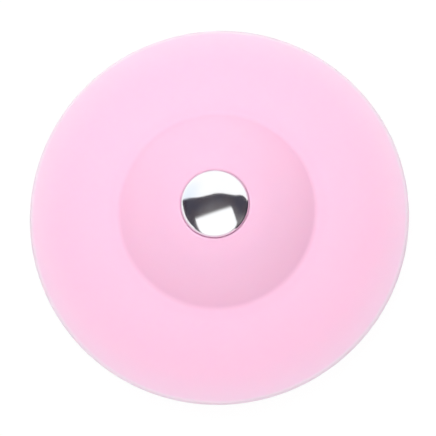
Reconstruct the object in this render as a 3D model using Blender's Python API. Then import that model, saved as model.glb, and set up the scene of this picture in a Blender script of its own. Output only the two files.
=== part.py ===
"""Silicone drain strainer with a press-down stopper: a wide silicone cover with a flexible dome and a
chromed button, over a slotted strainer cup that hangs in the drain.

Heights are measured from the basin floor that the cover lies on, so what hangs in the drain is negative.
The model stands on the bottom of the strainer cup, with the drain's axis along Z.
"""

import math

import bmesh
import bpy

MM = 0.001

# Driving dimensions.
COVER_RADIUS = 51.5 * MM
DOME_FOOT_RADIUS = 26.6 * MM  # the middle of the fillet at the dome's foot
BUTTON_RADIUS = 9.15 * MM
CUP_RADIUS = 16.2 * MM
CUP_DROP = 9.0 * MM
PRESS_TRAVEL = 5.6 * MM
GAP = 0.3 * MM  # between pieces that touch on the real object
SEAT_GAP = 0.2 * MM  # left under the plug disc when the button is down

# The silicone moulding: a flange that steepens towards its rim, and a dome that is a round cap on a
# short steep wall.
RIDGE_HEIGHT = 1.0 * MM  # holds the rim off the basin floor
LIP_THICKNESS = 1.3 * MM
RIM_SLOPE = math.radians(20.5)
FLANGE_SLOPE = math.radians(8)  # beside the dome
WALL_SLOPE = math.radians(46.5)
HUB_SLOPE = math.radians(12)
RIM_RUN = 6.9 * MM  # the straight outer stretch of the flange
CROWNED_RUN = 13.0 * MM  # where the flange curves over, between its two slopes
FOOT_FILLET = 5.2 * MM
WALL_RUN = 1.5 * MM
DOME_THICKNESS = 1.6 * MM
HUB_RADIUS = 10.2 * MM
HUB_THICKNESS = 3.2 * MM

# The collar under the dome's foot, with the groove that the guide plate snaps into.
COLLAR_OUTER = 28.5 * MM
COLLAR_LIP = 24.2 * MM
PLATE_RADIUS = 25.5 * MM
PLATE_THICKNESS = 1.2 * MM
PLATE_BOTTOM = 4.8 * MM
COLLAR_BOTTOM = 3.5 * MM
FLANGE_AT_COLLAR = 2.2 * MM  # the flange's thickness where it meets the collar

# What catches hair under the flange.
RIDGES = 30
RIDGE_WIDTH = 1.3 * MM
RIDGE_START = 41.5 * MM
RIDGE_END = 48.6 * MM
TEETH = 30
TOOTH_RINGS = (31.8 * MM, 36.1 * MM)
TOOTH_ROOT = 1.1 * MM
TOOTH_TIP = 0.7 * MM
TOOTH_CLEARANCE = 0.6 * MM  # from the tips to the basin floor

# The button and the plunger under it.
CAP_SHELL = 0.5 * MM
CAP_SIDE = 0.42 * MM
CAP_EDGE_ROUND = 0.9 * MM
CAP_EDGE_SLOPE = math.radians(21.7)
RECESS_DEPTH = 0.45 * MM
SPIGOT_RADIUS = 3.0 * MM
STEM_RADIUS = 3.5 * MM
STEM_FLANGE = 5.0 * MM
PLUG_RADIUS = 13.2 * MM
PLUG_THICKNESS = 2.0 * MM
WASHER_RADIUS = 8.0 * MM
WASHER_THICKNESS = 1.2 * MM
PLUG_WASHER_RADIUS = 4.6 * MM
PLUG_WASHER_THICKNESS = 0.8 * MM
SCREW_RADIUS = 1.5 * MM
SCREW_HEAD_RADIUS = 2.8 * MM
SCREW_HEAD_HEIGHT = 1.6 * MM
CROSS_RECESS = (2.6 * MM, 0.6 * MM, 0.9 * MM)  # length, width and depth of the driver's slots
SCREW_BORE = SCREW_RADIUS + GAP

# The strainer cup and the seal round it.
CUP_WALL = 1.4 * MM
CUP_BARS = 20
BAR_WIDTH = 1.4 * MM
BASE_THICKNESS = 1.7 * MM
SEAT_RADIUS = 11.0 * MM
SEAT_WIDTH = 1.3 * MM
SEAT_HEIGHT = 3.4 * MM
BAND_HEIGHT = 5.1 * MM
SEAL_FLANGE = 1.0 * MM  # how far the flanges that hold the seal stand out
SEAL_FLANGE_THICKNESS = 0.8 * MM
SEAL_FIN_RADII = (19.6 * MM, 20.0 * MM)  # lower fin, upper fin
PLATE_HOLES = 12
PLATE_HOLE_RADIUS = 1.4 * MM
PLATE_HOLE_CIRCLE = 19.8 * MM
GUIDE_ARMS = 4

# How finely round shapes are divided.
WIDE_STEPS = 60
MIDDLE_STEPS = 48
NARROW_STEPS = 36
SMALL_STEPS = 20
CROWNED_STEPS = 2
FILLET_STEPS = 3
DOME_STEPS = 5

# Heights that follow from the above.
CUP_BOTTOM = -CUP_DROP
SEAT_TOP = CUP_BOTTOM + SEAT_HEIGHT
PLUG_BOTTOM = SEAT_TOP + SEAT_GAP + PRESS_TRAVEL
PLUG_TOP = PLUG_BOTTOM + PLUG_THICKNESS
PLATE_TOP = PLATE_BOTTOM + PLATE_THICKNESS
LIP_MIDDLE = RIDGE_HEIGHT + LIP_THICKNESS / 2
LIP_CENTRE_RADIUS = COVER_RADIUS - LIP_THICKNESS / 2


def on_arc(centre, radius, start, end, steps):
    """Points (r, z) on an arc, angles in degrees from the +r direction towards +z."""
    points = []
    for i in range(steps + 1):
        angle = math.radians(start + (end - start) * i / steps)
        points.append((centre[0] + radius * math.cos(angle), centre[1] + radius * math.sin(angle)))
    return points


class Meridian:
    """The cover's top surface in section, walked inwards and upwards from a start point.

    Each point is (radius, height, slope), so that a parallel inner surface can be taken from it.
    """

    def __init__(self, radius, height, slope):
        self.points = [(radius, height, slope)]

    def straight(self, run):
        radius, height, slope = self.points[-1]
        self.points.append((radius - run, height + run * math.tan(slope), slope))

    def bend(self, bend_radius, to_slope, steps):
        """An arc to a new slope: hollow where the slope grows, crowned where it falls."""
        radius, height, slope = self.points[-1]
        for i in range(1, steps + 1):
            new = slope + (to_slope - slope) * i / steps
            run = bend_radius * abs(math.sin(new) - math.sin(slope))
            rise = bend_radius * abs(math.cos(new) - math.cos(slope))
            self.points.append((radius - run, height + rise, new))


def cover_meridian():
    """From the top of the lip over the flange, the dome's foot and side wall, to the edge of the hub."""
    line = Meridian(LIP_CENTRE_RADIUS, RIDGE_HEIGHT + LIP_THICKNESS, RIM_SLOPE)
    line.straight(RIM_RUN)
    line.bend(CROWNED_RUN / (math.sin(RIM_SLOPE) - math.sin(FLANGE_SLOPE)), FLANGE_SLOPE, CROWNED_STEPS)
    fillet_run = FOOT_FILLET * (math.sin(WALL_SLOPE) - math.sin(FLANGE_SLOPE))
    line.straight(line.points[-1][0] - DOME_FOOT_RADIUS - fillet_run / 2)
    line.bend(FOOT_FILLET, WALL_SLOPE, FILLET_STEPS)
    line.straight(WALL_RUN)
    dome_run = line.points[-1][0] - HUB_RADIUS
    line.bend(dome_run / (math.sin(WALL_SLOPE) - math.sin(HUB_SLOPE)), HUB_SLOPE, DOME_STEPS)
    return line.points


MERIDIAN = cover_meridian()
FOOT_INDEX = 2 + CROWNED_STEPS + FILLET_STEPS  # where the fillet ends and the side wall starts
FOOT_HEIGHT = MERIDIAN[FOOT_INDEX][1]
HUB_TOP = MERIDIAN[-1][1]
HUB_BOTTOM = HUB_TOP - HUB_THICKNESS
RECESS_FLOOR = HUB_TOP - RECESS_DEPTH
CAP_RIM_BOTTOM = RECESS_FLOOR + GAP
WASHER_BOTTOM = HUB_BOTTOM - GAP - WASHER_THICKNESS
STEM_TOP = WASHER_BOTTOM - GAP
STEM_BOTTOM = PLUG_TOP + GAP


def material(name, colour, roughness, metallic=0.0):
    made = bpy.data.materials.new(name)
    made.use_nodes = True
    shader = made.node_tree.nodes["Principled BSDF"]
    shader.inputs["Base Color"].default_value = (*colour, 1.0)
    shader.inputs["Roughness"].default_value = roughness
    shader.inputs["Metallic"].default_value = metallic
    return made


def clear_scene():
    for old in list(bpy.data.objects):
        bpy.data.objects.remove(old)


def empty(name, parent=None, height=0.0):
    made = bpy.data.objects.new(name, None)
    made.empty_display_size = 10 * MM
    made.location.z = height
    made.parent = parent
    bpy.context.scene.collection.objects.link(made)
    return made


def finish_mesh(mesh, name, look, parent):
    """Links a bmesh as an object, shaded smooth apart from its sharp edges."""
    bmesh.ops.recalc_face_normals(mesh, faces=mesh.faces)
    data = bpy.data.meshes.new(name)
    mesh.to_mesh(data)
    mesh.free()
    data.materials.append(look)
    data.shade_smooth()
    data.set_sharp_from_angle(angle=math.radians(35))
    made = bpy.data.objects.new(name, data)
    made.parent = parent
    bpy.context.scene.collection.objects.link(made)
    return made


def turned(name, profile, look, parent, steps=SMALL_STEPS):
    """A closed (radius, height) outline spun once round Z."""
    mesh = bmesh.new()
    corners = [mesh.verts.new((r, 0.0, z)) for r, z in profile]
    outline = [mesh.edges.new((a, b)) for a, b in zip(corners, corners[1:] + corners[:1])]
    bmesh.ops.spin(
        mesh,
        geom=corners + outline,
        cent=(0, 0, 0),
        axis=(0, 0, 1),
        angle=math.tau,
        steps=steps,
        use_merge=True,
    )
    bmesh.ops.remove_doubles(mesh, verts=mesh.verts, dist=0.001 * MM)
    loose = [edge for edge in mesh.edges if not edge.link_faces]
    bmesh.ops.delete(mesh, geom=loose, context="EDGES")
    return finish_mesh(mesh, name, look, parent)


def prism(mesh, outline, bottom, top, turn):
    """Adds an upright prism on an (x, y) outline, turned about Z, to a bmesh."""
    cos, sin = math.cos(turn), math.sin(turn)
    low = [mesh.verts.new((x * cos - y * sin, x * sin + y * cos, bottom)) for x, y in outline]
    face = mesh.faces.new(low)
    raised = bmesh.ops.extrude_face_region(mesh, geom=[face])["geom"]
    high = [part for part in raised if isinstance(part, bmesh.types.BMVert)]
    bmesh.ops.translate(mesh, verts=high, vec=(0, 0, top - bottom))


def stadium(start, end, width, steps):
    """A long (x, y) outline with round ends, lying along X."""
    half = width / 2
    outline = [(x, y) for x, y in on_arc((end - half, 0.0), half, -90, 90, steps)]
    outline += [(x, y) for x, y in on_arc((start + half, 0.0), half, 90, 270, steps)]
    return outline


def ring_of_prisms(outline, count, bottom, top, offset=0.0):
    mesh = bmesh.new()
    for i in range(count):
        prism(mesh, outline, bottom, top, offset + math.tau * i / count)
    return mesh


def combine(target, helper, operation):
    """Lets a helper object, which is no piece itself, cut the target or join it."""
    helper.hide_render = True
    helper.display_type = "WIRE"
    modifier = target.modifiers.new(helper.name, "BOOLEAN")
    modifier.operation = operation
    modifier.object = helper
    modifier.solver = "EXACT"


def flange_underside(radius):
    """Height of the flange's lower face: the top's height less a thickness that grows to the collar."""
    for (outer, low, _), (inner, high, _) in zip(MERIDIAN, MERIDIAN[1:]):
        if inner <= radius <= outer:
            top = low + (high - low) * (outer - radius) / (outer - inner)
            break
    inwards = (LIP_CENTRE_RADIUS - radius) / (LIP_CENTRE_RADIUS - COLLAR_OUTER)
    return top - LIP_THICKNESS - (FLANGE_AT_COLLAR - LIP_THICKNESS) * inwards


def hair_ridges(look, parent):
    """Radial ridges under the rim: water runs in between them and the cover rests on them."""
    outline = stadium(RIDGE_START, RIDGE_END, RIDGE_WIDTH, 2)
    mesh = ring_of_prisms(outline, RIDGES, 0.0, LIP_THICKNESS)
    for vertex in mesh.verts:
        if vertex.co.z > 0:  # the tops follow the flange, so that they end inside it
            radius = math.hypot(vertex.co.x, vertex.co.y)
            vertex.co.z = flange_underside(radius) + 0.4 * LIP_THICKNESS
    return finish_mesh(mesh, "hair_ridges", look, parent)


def hair_teeth(look, parent):
    """Two staggered rings of tapered teeth between the ridges and the collar."""
    mesh = bmesh.new()
    for ring, circle in enumerate(TOOTH_RINGS):
        root = flange_underside(circle) + 0.4 * LIP_THICKNESS
        length = root - TOOTH_CLEARANCE
        for i in range(TEETH):
            turn = math.tau * (i + 0.5 * ring) / TEETH
            made = bmesh.ops.create_cone(
                mesh,
                cap_ends=True,
                segments=6,
                radius1=TOOTH_TIP,
                radius2=TOOTH_ROOT,
                depth=length,
            )
            place = (circle * math.cos(turn), circle * math.sin(turn), TOOTH_CLEARANCE + length / 2)
            bmesh.ops.translate(mesh, verts=made["verts"], vec=place)
    return finish_mesh(mesh, "hair_teeth", look, parent)


def silicone_skirt(look, parent):
    """The flange, from its round lip to the dome's foot, and the grooved collar under the foot."""
    groove_radius = PLATE_RADIUS + GAP
    groove_bottom = PLATE_BOTTOM - GAP
    groove_top = PLATE_TOP + GAP
    corner = 0.5 * MM
    profile = [(r, z) for r, z, _ in MERIDIAN[1 : FOOT_INDEX + 1]][::-1]
    profile += on_arc((LIP_CENTRE_RADIUS, LIP_MIDDLE), LIP_THICKNESS / 2, 90, -90, 4)
    under_flange = [r for r, _, _ in MERIDIAN[1 : FOOT_INDEX] if r > COLLAR_OUTER + corner]
    profile += [(r, flange_underside(r)) for r in under_flange + [COLLAR_OUTER + corner]]
    profile += [(COLLAR_OUTER, flange_underside(COLLAR_OUTER) - corner)]
    profile += on_arc((COLLAR_OUTER - corner, COLLAR_BOTTOM + corner), corner, 0, -90, 1)
    profile += on_arc((COLLAR_LIP + corner, COLLAR_BOTTOM + corner), corner, -90, -180, 1)
    profile += [
        (COLLAR_LIP, groove_bottom),
        (groove_radius, groove_bottom),
        (groove_radius, groove_top),
        (COLLAR_LIP, groove_top),
        (COLLAR_LIP, FOOT_HEIGHT),
    ]
    made = turned("silicone_skirt", profile, look, parent, WIDE_STEPS)
    combine(made, hair_ridges(look, parent), "UNION")
    combine(made, hair_teeth(look, parent), "UNION")
    return made


def dome_points(low, inner_radius):
    """The stretch of the cover's top surface between a height and a radius, ends included."""
    foot_radius, foot_height, slope = MERIDIAN[FOOT_INDEX]
    rise = low - foot_height
    points = [(foot_radius - rise / math.tan(slope), low, slope)]
    points += MERIDIAN[FOOT_INDEX + 1 : -1]
    radius, height, slope = MERIDIAN[-1]
    run = inner_radius - radius
    points.append((inner_radius, height - run * math.tan(slope), slope))
    return points


def flex_dome(look, parent):
    """The thin wall that gives way when the button is pressed."""
    outer = dome_points(FOOT_HEIGHT + GAP, HUB_RADIUS + GAP)
    inner = [(r - DOME_THICKNESS * math.sin(s), z - DOME_THICKNESS * math.cos(s)) for r, z, s in outer]
    foot_radius, foot_height, slope = outer[0]
    inner[0] = (foot_radius - DOME_THICKNESS / math.sin(slope), foot_height)
    profile = [(r, z) for r, z, _ in outer] + inner[::-1]
    return turned("flex_dome", profile, look, parent, MIDDLE_STEPS)


def dome_hub(look, parent):
    """The thick middle of the moulding, clamped between the button and its washer."""
    recess = BUTTON_RADIUS + GAP
    edge = 0.15 * MM
    thin_radius = HUB_RADIUS - DOME_THICKNESS * math.sin(HUB_SLOPE)
    thin_bottom = HUB_TOP - DOME_THICKNESS * math.cos(HUB_SLOPE)
    recess_edge_height = HUB_TOP + (HUB_RADIUS - recess - edge) * math.tan(HUB_SLOPE)
    profile = [(HUB_RADIUS, HUB_TOP)]
    profile += on_arc((recess + edge, recess_edge_height - edge), edge, 90, 180, 1)
    profile += [
        (recess, RECESS_FLOOR),
        (SPIGOT_RADIUS + GAP, RECESS_FLOOR),
        (SPIGOT_RADIUS + GAP, HUB_BOTTOM),
    ]
    fillet = thin_bottom - HUB_BOTTOM
    profile += on_arc((thin_radius - fillet, HUB_BOTTOM + fillet), fillet, -90, 0, 2)
    return turned("dome_hub", profile, look, parent, NARROW_STEPS)


def crown_points(inset, steps):
    """The cap's outer surface from its rim to its top, taken in by an inset."""
    side_top = CAP_RIM_BOTTOM + CAP_SIDE
    centre_radius = BUTTON_RADIUS - CAP_EDGE_ROUND
    to = 90 - math.degrees(CAP_EDGE_SLOPE)
    points = on_arc((centre_radius, side_top), CAP_EDGE_ROUND - inset, 0, to, 3)
    edge_radius = centre_radius + CAP_EDGE_ROUND * math.sin(CAP_EDGE_SLOPE)
    sphere = edge_radius / math.sin(CAP_EDGE_SLOPE)
    edge_height = side_top + CAP_EDGE_ROUND * math.cos(CAP_EDGE_SLOPE)
    centre = (0.0, edge_height - sphere * math.cos(CAP_EDGE_SLOPE))
    points += on_arc(centre, sphere - inset, to, 90, steps)[1:]
    points[-1] = (0.0, points[-1][1])
    return points


def button_cap(look, parent):
    """A thin pressed and chromed shell with a crowned top and a rolled edge."""
    outer = [(BUTTON_RADIUS, CAP_RIM_BOTTOM)] + crown_points(0.0, 4)
    inner = [(BUTTON_RADIUS - CAP_SHELL, CAP_RIM_BOTTOM)] + crown_points(CAP_SHELL, 2)
    return turned("button_cap", outer + inner[::-1], look, parent, NARROW_STEPS)


def button_core(look, parent):
    """The insert that fills the cap; its spigot passes through the hub and takes the screw."""
    clear = CAP_SHELL + GAP
    bore_top = HUB_TOP - 0.6 * MM
    profile = [(SPIGOT_RADIUS, HUB_BOTTOM), (SPIGOT_RADIUS, CAP_RIM_BOTTOM)]
    profile += [(BUTTON_RADIUS - clear, CAP_RIM_BOTTOM)] + crown_points(clear, 2)
    profile += [(0.0, bore_top), (SCREW_BORE, bore_top), (SCREW_BORE, HUB_BOTTOM)]
    return turned("button_core", profile, look, parent)


def washer(name, inner, outer, bottom, thickness, look, parent):
    """A flat ring with its outer corners broken."""
    corner = 0.2 * MM
    top = bottom + thickness
    profile = [
        (inner, bottom),
        (outer - corner, bottom),
        (outer, bottom + corner),
        (outer, top - corner),
        (outer - corner, top),
        (inner, top),
    ]
    return turned(name, profile, look, parent)


def plunger_stem(look, parent):
    """The tube that slides in the guide; its flange backs the plug disc and stops the lift."""
    flange_top = PLATE_BOTTOM - GAP
    fillet = 0.4 * MM
    profile = [(SCREW_BORE, STEM_BOTTOM), (STEM_FLANGE, STEM_BOTTOM), (STEM_FLANGE, flange_top)]
    profile += [(STEM_RADIUS + fillet, flange_top), (STEM_RADIUS, flange_top + fillet)]
    profile += [(STEM_RADIUS, STEM_TOP), (SCREW_BORE, STEM_TOP)]
    return turned("plunger_stem", profile, look, parent)


def plug_disc(look, parent):
    """The soft disc that closes the cup's seat, thinner towards its sealing edge."""
    lip = 0.9 * MM
    taper_start = STEM_FLANGE + 2.0 * MM
    profile = [(SCREW_BORE, PLUG_BOTTOM)]
    profile += on_arc((PLUG_RADIUS - lip / 2, PLUG_BOTTOM + lip / 2), lip / 2, -90, 90, 3)
    profile += [(taper_start, PLUG_TOP), (SCREW_BORE, PLUG_TOP)]
    return turned("plug_disc", profile, look, parent, NARROW_STEPS)


def stem_screw(look, parent):
    """A pan-head screw from below, through the whole stack, into the button's core."""
    head_top = PLUG_BOTTOM - GAP - PLUG_WASHER_THICKNESS - GAP
    head_bottom = head_top - SCREW_HEAD_HEIGHT
    tip = HUB_TOP - 1.0 * MM
    profile = [(0.0, head_bottom), (0.55 * SCREW_HEAD_RADIUS, head_bottom)]
    profile += [(0.85 * SCREW_HEAD_RADIUS, head_bottom + 0.25 * SCREW_HEAD_HEIGHT)]
    profile += [(SCREW_HEAD_RADIUS, head_bottom + 0.6 * SCREW_HEAD_HEIGHT), (SCREW_HEAD_RADIUS, head_top)]
    profile += [(SCREW_RADIUS, head_top), (SCREW_RADIUS, tip - 0.8 * MM), (0.5 * SCREW_RADIUS, tip)]
    profile += [(0.0, tip)]
    made = turned("stem_screw", profile, look, parent)

    length, width, depth = CROSS_RECESS
    slot = [(-length / 2, -width / 2), (length / 2, -width / 2), (length / 2, width / 2)]
    slot += [(-length / 2, width / 2)]
    for name, turn in (("first_slot", 0.0), ("second_slot", math.pi / 2)):
        mesh = bmesh.new()
        prism(mesh, slot, head_bottom - depth, head_bottom + depth, turn)
        combine(made, finish_mesh(mesh, name, look, parent), "DIFFERENCE")
    return made


def guide_plate(look, parent):
    """The plate that snaps into the collar: strainer holes, and arms that hold the stem's guide."""
    opening = CUP_RADIUS - CUP_WALL - GAP - CUP_WALL
    collar_outer = CUP_RADIUS - CUP_WALL - GAP
    collar_bottom = PLUG_TOP + GAP
    corner = 0.2 * MM
    profile = [
        (opening, collar_bottom),
        (collar_outer - corner, collar_bottom),
        (collar_outer, collar_bottom + corner),
        (collar_outer, PLATE_BOTTOM),
        (PLATE_RADIUS - corner, PLATE_BOTTOM),
        (PLATE_RADIUS, PLATE_BOTTOM + corner),
        (PLATE_RADIUS, PLATE_TOP - corner),
        (PLATE_RADIUS - corner, PLATE_TOP),
        (opening, PLATE_TOP),
    ]
    made = turned("guide_plate", profile, look, parent, MIDDLE_STEPS)

    guide_inner = STEM_RADIUS + GAP
    guide_outer = guide_inner + 1.5 * MM
    guide_top = PLATE_TOP + 2.0 * MM
    ring = turned(
        "guide_ring",
        [
            (guide_inner, PLATE_BOTTOM),
            (guide_outer, PLATE_BOTTOM),
            (guide_outer, guide_top - corner),
            (guide_outer - corner, guide_top),
            (guide_inner, guide_top),
        ],
        look,
        parent,
    )
    combine(made, ring, "UNION")

    half = 1.0 * MM
    start = guide_inner + 0.5 * MM
    end = opening + 0.6 * MM
    arm = [(start, -half), (end, -half), (end, half), (start, half)]
    arms = ring_of_prisms(arm, GUIDE_ARMS, PLATE_BOTTOM + 0.1 * MM, PLATE_TOP - 0.1 * MM, math.pi / 4)
    combine(made, finish_mesh(arms, "guide_arms", look, parent), "UNION")

    hole = on_arc((PLATE_HOLE_CIRCLE, 0.0), PLATE_HOLE_RADIUS, 0, 360, 8)[:-1]
    holes = ring_of_prisms(hole, PLATE_HOLES, PLATE_BOTTOM - 1 * MM, PLATE_TOP + 1 * MM)
    combine(made, finish_mesh(holes, "plate_holes", look, parent), "DIFFERENCE")
    return made


def strainer_cup(look, parent):
    """The slotted cup in the drain: seat, base, seal groove, bars and top ring in one moulding."""
    inner = CUP_RADIUS - CUP_WALL
    base_top = CUP_BOTTOM + BASE_THICKNESS
    band_top = CUP_BOTTOM + BAND_HEIGHT
    ring_top = PLATE_BOTTOM - GAP
    seat_outer = SEAT_RADIUS + SEAT_WIDTH
    flange = CUP_RADIUS + SEAL_FLANGE
    bead = flange - 0.2 * MM
    corner = 0.2 * MM
    profile = [
        (SEAT_RADIUS, CUP_BOTTOM),
        (flange - corner, CUP_BOTTOM),
        (flange, CUP_BOTTOM + corner),
        (flange, CUP_BOTTOM + SEAL_FLANGE_THICKNESS),
        (CUP_RADIUS, CUP_BOTTOM + SEAL_FLANGE_THICKNESS),
        (CUP_RADIUS, band_top - 0.6 * MM),
        (bead, band_top - 0.6 * MM),
        (CUP_RADIUS, band_top + corner),
        (CUP_RADIUS, ring_top - corner),
        (CUP_RADIUS - corner, ring_top),
        (inner, ring_top),
        (inner, base_top),
        (seat_outer, base_top),
    ]
    profile += on_arc(((SEAT_RADIUS + seat_outer) / 2, SEAT_TOP - SEAT_WIDTH / 2), SEAT_WIDTH / 2, 0, 180, 3)
    made = turned("strainer_cup", profile, look, parent, 2 * CUP_BARS)

    slot_top = ring_top - 1.3 * MM
    slot_middle = CUP_RADIUS - CUP_WALL / 2
    half = (math.tau * slot_middle / CUP_BARS - BAR_WIDTH) / 2
    start, end = inner - 1 * MM, CUP_RADIUS + 1 * MM
    slot = [(start, -half), (end, -half), (end, half), (start, half)]
    slots = ring_of_prisms(slot, CUP_BARS, band_top + 0.3 * MM, slot_top)
    combine(made, finish_mesh(slots, "cup_slots", look, parent), "DIFFERENCE")
    return made


def pipe_seal(look, parent):
    """The silicone ring with two upswept fins that wipes the drain pipe."""
    inner = CUP_RADIUS + GAP
    body = inner + 1.0 * MM
    bottom = CUP_BOTTOM + SEAL_FLANGE_THICKNESS + GAP
    top = CUP_BOTTOM + BAND_HEIGHT - 0.6 * MM - GAP
    fin = 0.7 * MM
    sweep = 0.9 * MM
    lower, upper = SEAL_FIN_RADII
    lower_at, upper_at = bottom + 0.1 * MM, bottom + 1.55 * MM
    profile = [(inner, bottom), (body, bottom), (body, lower_at)]
    profile += [(lower, lower_at + sweep), (lower, lower_at + sweep + 0.5 * fin), (body, lower_at + fin)]
    profile += [(body, upper_at)]
    profile += [(upper, upper_at + sweep), (upper, upper_at + sweep + 0.5 * fin), (body, upper_at + fin)]
    profile += [(body, top), (inner, top)]
    return turned("pipe_seal", profile, look, parent, NARROW_STEPS)


def main():
    clear_scene()
    silicone = material("pink_silicone", (0.95, 0.60, 0.78), 0.55)
    chrome = material("chrome", (0.85, 0.85, 0.87), 0.06, 1.0)
    plastic = material("white_plastic", (0.86, 0.84, 0.82), 0.40)
    steel = material("stainless_steel", (0.62, 0.61, 0.60), 0.28, 1.0)

    basin_floor = empty("basin_floor", height=CUP_DROP)
    button_slide = empty("button_slide", parent=basin_floor)

    silicone_skirt(silicone, basin_floor)
    flex_dome(silicone, basin_floor)
    guide_plate(plastic, basin_floor)
    strainer_cup(plastic, basin_floor)
    pipe_seal(silicone, basin_floor)

    dome_hub(silicone, button_slide)
    button_cap(chrome, button_slide)
    button_core(plastic, button_slide)
    washer("hub_washer", SCREW_BORE, WASHER_RADIUS, WASHER_BOTTOM, WASHER_THICKNESS, plastic, button_slide)
    plunger_stem(plastic, button_slide)
    plug_disc(silicone, button_slide)
    plug_washer_bottom = PLUG_BOTTOM - GAP - PLUG_WASHER_THICKNESS
    washer("plug_washer", SCREW_BORE, PLUG_WASHER_RADIUS, plug_washer_bottom, PLUG_WASHER_THICKNESS,
           steel, button_slide)
    stem_screw(steel, button_slide)


main()
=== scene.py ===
import math

import bmesh
import bpy
from mathutils import Matrix, Vector


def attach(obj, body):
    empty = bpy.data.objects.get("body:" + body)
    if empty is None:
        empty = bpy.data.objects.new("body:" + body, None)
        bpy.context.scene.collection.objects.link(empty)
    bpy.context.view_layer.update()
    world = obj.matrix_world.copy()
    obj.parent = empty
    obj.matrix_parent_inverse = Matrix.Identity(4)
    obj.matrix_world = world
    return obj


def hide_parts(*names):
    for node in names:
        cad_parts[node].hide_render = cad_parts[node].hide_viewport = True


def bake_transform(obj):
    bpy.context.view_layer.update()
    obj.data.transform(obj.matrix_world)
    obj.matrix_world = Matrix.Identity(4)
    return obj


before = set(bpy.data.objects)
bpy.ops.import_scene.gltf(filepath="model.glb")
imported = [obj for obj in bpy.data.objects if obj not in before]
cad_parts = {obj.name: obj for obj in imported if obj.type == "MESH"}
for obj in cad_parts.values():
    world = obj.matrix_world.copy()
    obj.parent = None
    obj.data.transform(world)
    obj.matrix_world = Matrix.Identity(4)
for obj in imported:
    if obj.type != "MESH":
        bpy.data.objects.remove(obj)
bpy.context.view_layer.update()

MM = 0.001

# Heights are above the foot of the strainer cup, which stands on the floor.
BASIN_FLOOR = 9.0 * MM  # what the ridges under the cover lie on
COVER_RADIUS = 51.5 * MM
DOME_FOOT_RADIUS = 26.7 * MM
BUTTON_RADIUS = 9.15 * MM
CUP_RADIUS = 16.2 * MM
GAP = 0.3 * MM  # between neighbours that touch on the real object
MERGE = 0.001 * MM  # points closer than this are one
TOUCH = 0.01 * MM  # heights and places this close count as the same
SLIVER = 0.004 * MM  # edges shorter than this are left over from a cut

# The cover's moulding.
RIDGE_HEIGHT = 1.0 * MM
LIP_THICKNESS = 1.3 * MM
RIM_SLOPE = math.radians(20.5)
FLANGE_SLOPE = math.radians(8)
WALL_SLOPE = math.radians(46.5)
HUB_SLOPE = math.radians(12)
RIM_RUN = 6.9 * MM
CROWNED_RUN = 13.0 * MM
FOOT_FILLET = 2.4 * MM
WALL_RUN = 1.963 * MM
DOME_THICKNESS = 1.6 * MM
HUB_RADIUS = 10.2 * MM
HUB_THICKNESS = 3.2 * MM
SKIN_EDGE = 8.4 * MM  # where the cover's skin ends, hidden under the cap
LIP_POINT = 0.12 * MM  # the small radius that the lip runs out to, where the mould's halves meet
COLLAR_OUTER = 28.5 * MM
COLLAR_LIP = 24.2 * MM
COLLAR_BOTTOM = BASIN_FLOOR + 3.5 * MM
FLANGE_AT_COLLAR = 2.2 * MM
LIP_CENTRE = (COVER_RADIUS - LIP_THICKNESS / 2, BASIN_FLOOR + RIDGE_HEIGHT + LIP_THICKNESS / 2)

# What catches the hair.
RIDGES = 30
RIDGE_WIDTH = 1.3 * MM
RIDGE_START = 41.5 * MM
RIDGE_END = 48.6 * MM
TEETH = 30
TOOTH_RINGS = (31.8 * MM, 36.1 * MM)
TOOTH_ROOT = 1.1 * MM
TOOTH_TIP = 0.7 * MM
TOOTH_CLEARANCE = 0.6 * MM
ROOT_FLARE = 0.3 * MM

# The button, what it carries, and the plate it slides in.
CAP_SHELL = 0.5 * MM
CAP_SIDE = 0.42 * MM
CAP_EDGE_ROUND = 0.9 * MM
CAP_EDGE_SLOPE = math.radians(21.7)
RECESS_DEPTH = 0.45 * MM
CAP_CLEARANCE = 0.08 * MM  # the rubber hugs the cap
CAP_LEAN = (0.03 * MM, -0.02 * MM)  # how far the recess lies off the cap's centre
SPIGOT_RADIUS = 3.0 * MM
STEM_RADIUS = 3.5 * MM
STEM_FLANGE = 5.0 * MM
SCREW_BORE = 1.8 * MM
SCREW_HEAD_RADIUS = 2.8 * MM
SCREW_HEAD_HEIGHT = 1.6 * MM
CROSS_RECESS = (3.2 * MM, 0.7 * MM, 1.1 * MM)
WASHER_RADIUS = 8.0 * MM
WASHER_THICKNESS = 1.2 * MM
PLUG_RADIUS = 13.2 * MM
PLUG_BOTTOM = 9.2 * MM
PLUG_TOP = 11.2 * MM
PLUG_WASHER_RADIUS = 4.6 * MM
PLUG_WASHER_THICKNESS = 0.8 * MM
PLATE_RADIUS = 25.5 * MM
PLATE_BOTTOM = 13.8 * MM
PLATE_TOP = 15.0 * MM
PLATE_HOLES = 12
PLATE_HOLE_RADIUS = 1.4 * MM
PLATE_HOLE_CIRCLE = 19.8 * MM
PLATE_ROUND = 0.2 * MM
HOLE_MOUTH = 0.3 * MM
HOLE_FLARE = 1.21  # how much wider a hole is at its mouth
GUIDE_WALL = 1.5 * MM
GUIDE_HEIGHT = 2.0 * MM  # above the plate
ARM_WIDTH = 2.0 * MM

# The strainer cup and its seal.
CUP_WALL = 1.4 * MM
CUP_INNER = CUP_RADIUS - CUP_WALL
CUP_BARS = 20
BAR_WIDTH = 1.4 * MM
CUP_RING_TOP = 13.5 * MM
BASE_THICKNESS = 1.7 * MM
SEAT_RADIUS = 11.0 * MM
SEAT_WIDTH = 1.3 * MM
SEAT_TOP = 3.4 * MM
BAND_TOP = 5.1 * MM
BEAD_FOOT = BAND_TOP - 0.6 * MM
SEAL_FLANGE = 1.0 * MM
SEAL_FLANGE_THICKNESS = 0.8 * MM
SEAL_FIN_RADII = (19.6 * MM, 20.0 * MM)
CUP_EDGE_ROUND = 0.14 * MM

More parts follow.
